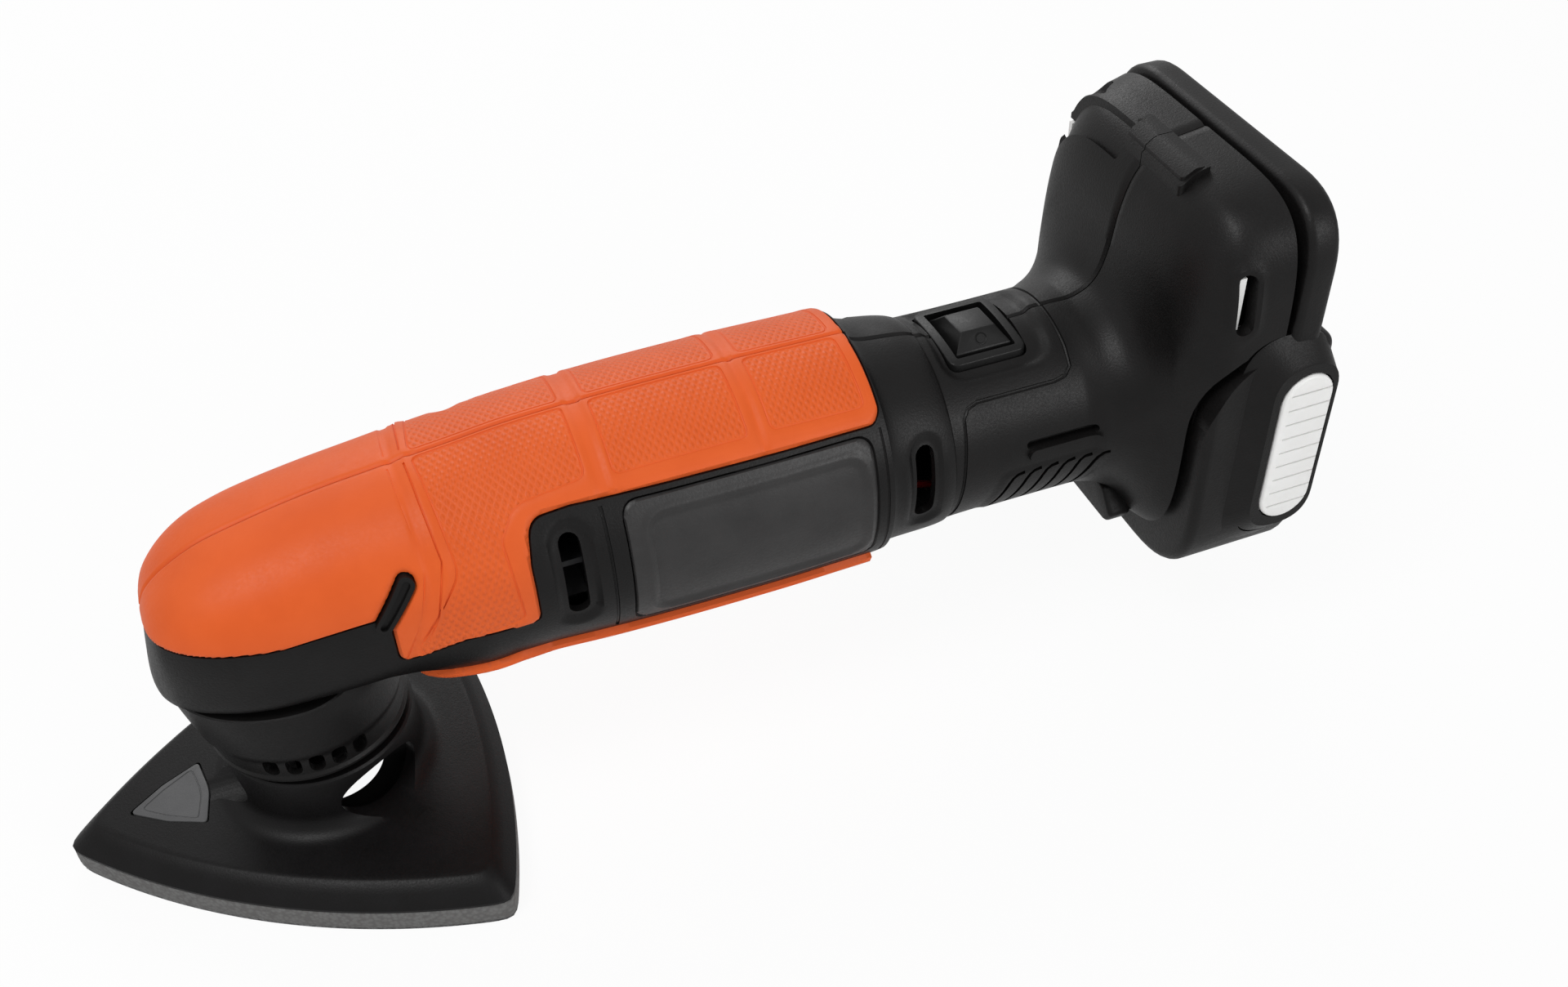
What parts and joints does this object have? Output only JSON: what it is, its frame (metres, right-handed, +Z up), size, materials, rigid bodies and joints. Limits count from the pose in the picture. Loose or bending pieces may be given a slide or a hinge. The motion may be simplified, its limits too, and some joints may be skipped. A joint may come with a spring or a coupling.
{
  "type": "detail mouse sander",
  "caption": "Cordless detail sander: a pointed triangular pad orbits under a slim hand-held body with soft grips, top rocker switch and a slide-off battery at the rear.",
  "frame": {"origin": "on the surface that the sanding face lies on, midway between the pad's front point and the rear of the battery, in the tool's middle plane", "axes": "+X towards the battery, along the handle; +Y to the operator's right; +Z up, away from the work"},
  "size_m": [0.263, 0.0944, 0.1152],
  "materials": {
    "black_housing": "fine spark-eroded grain, satin",
    "orange_soft_skin": "matt soft-touch elastomer with fine texture patches",
    "panel_black": "fine grain, satin",
    "screw_steel": "blackened steel",
    "switch_black": "smooth satin",
    "cast_alloy": "as cast",
    "bearing_steel": "ground",
    "ground_steel": "ground",
    "gear_brass": "sintered",
    "dark_steel": "sintered",
    "fan_plastic": "glass-filled nylon",
    "motor_steel": "zinc-plated, drawn",
    "copper": "varnished winding",
    "platen_black": "satin with fine grain",
    "grey_foam": "closed-cell foam, cut edge",
    "hook_fabric": "fine hooks",
    "grey_insert": "satin",
    "black_rubber": "matt",
    "battery_black": "fine grain, satin",
    "cell_blue": "shrink sleeve",
    "board_green": "solder mask",
    "white_plastic": "satin",
    "red_lead": "PVC insulation"
  },
  "bodies": {
    "housing": {"left_housing": "black_housing", "right_housing": "black_housing", "collar": "black_housing", "left_grip": "orange_soft_skin", "right_grip": "orange_soft_skin", "left_belly_grip": "orange_soft_skin", "right_belly_grip": "orange_soft_skin", "left_side_panel": "panel_black", "right_side_panel": "panel_black", "housing_screw_1": "screw_steel", "housing_screw_2": "screw_steel", "housing_screw_3": "screw_steel", "housing_screw_4": "screw_steel", "housing_screw_5": "screw_steel", "housing_screw_6": "screw_steel", "switch_bezel": "switch_black", "switch_module": "switch_black", "gear_frame": "cast_alloy", "lower_spindle_bearing": "bearing_steel", "upper_spindle_bearing": "bearing_steel", "front_shaft_bearing": "bearing_steel", "rear_shaft_bearing": "bearing_steel", "left_brush": "dark_steel", "right_brush": "dark_steel", "left_magnet": "dark_steel", "right_magnet": "dark_steel", "motor_end_cap": "fan_plastic", "terminal_block": "fan_plastic", "motor_can": "motor_steel", "flexible_post_1": "black_rubber", "flexible_post_2": "black_rubber", "flexible_post_3": "black_rubber", "lead_battery_to_switch": "red_lead", "lead_switch_to_motor": "red_lead", "lead_battery_to_motor": "red_lead"},
    "rotor": {"motor_shaft": "ground_steel", "bevel_pinion": "ground_steel", "cooling_fan": "fan_plastic", "armature": "copper", "commutator": "copper"},
    "spindle": {"spindle": "ground_steel", "bevel_gear": "gear_brass", "counterweight": "dark_steel", "platen_screw": "screw_steel"},
    "pad": {"platen": "platen_black", "foam_pad": "grey_foam", "hook_face": "hook_fabric", "tip_insert": "grey_insert", "eccentric_bearing": "bearing_steel"},
    "rocker": {"rocker_button": "switch_black"},
    "battery": {"battery_case": "battery_black", "battery_tower": "battery_black", "battery_cell_1": "cell_blue", "battery_cell_2": "cell_blue", "battery_cell_3": "cell_blue", "battery_board": "board_green", "left_button_spring": "ground_steel", "right_button_spring": "ground_steel"},
    "left_button": {"left_release_button": "white_plastic"},
    "right_button": {"right_release_button": "white_plastic"}
  },
  "joints": [
    {"name": "motor_spin", "type": "hinge", "parent": "housing", "child": "rotor", "pos_m": [0.01149, 0, 0.061], "axis": [1, 0, 0], "continuous": true},
    {"name": "spindle_spin", "type": "hinge", "parent": "housing", "child": "spindle", "pos_m": [-0.07851, 0, 0.044], "axis": [0, 0, 1], "continuous": true},
    {"name": "pad_orbit", "type": "hinge", "parent": "spindle", "child": "pad", "pos_m": [-0.07771, 0, 0.016], "axis": [0, 0, 1], "continuous": true},
    {"name": "rocker_switch", "type": "hinge", "parent": "housing", "child": "rocker", "pos_m": [0.06829, 0, 0.074], "axis": [1, 0, 0], "range_deg": [0, 10]},
    {"name": "battery_slide", "type": "slide", "parent": "housing", "child": "battery", "axis": [1, 0, 0], "range_m": [0, 0.045]},
    {"name": "left_release_press", "type": "slide", "parent": "battery", "child": "left_button", "axis": [0, 1, 0], "range_m": [0, 0.0024], "stiffness_N_per_m": 300, "springref_m": -0.001, "deforming": ["left_button_spring"]},
    {"name": "right_release_press", "type": "slide", "parent": "battery", "child": "right_button", "axis": [0, -1, 0], "range_m": [0, 0.0024], "stiffness_N_per_m": 300, "springref_m": -0.001, "deforming": ["right_button_spring"]}
  ],
  "couplings": [
    {"joint": "spindle_spin", "follows": "motor_spin", "ratio": 0.5},
    {"joint": "pad_orbit", "follows": "motor_spin", "ratio": -0.5}
  ]
}
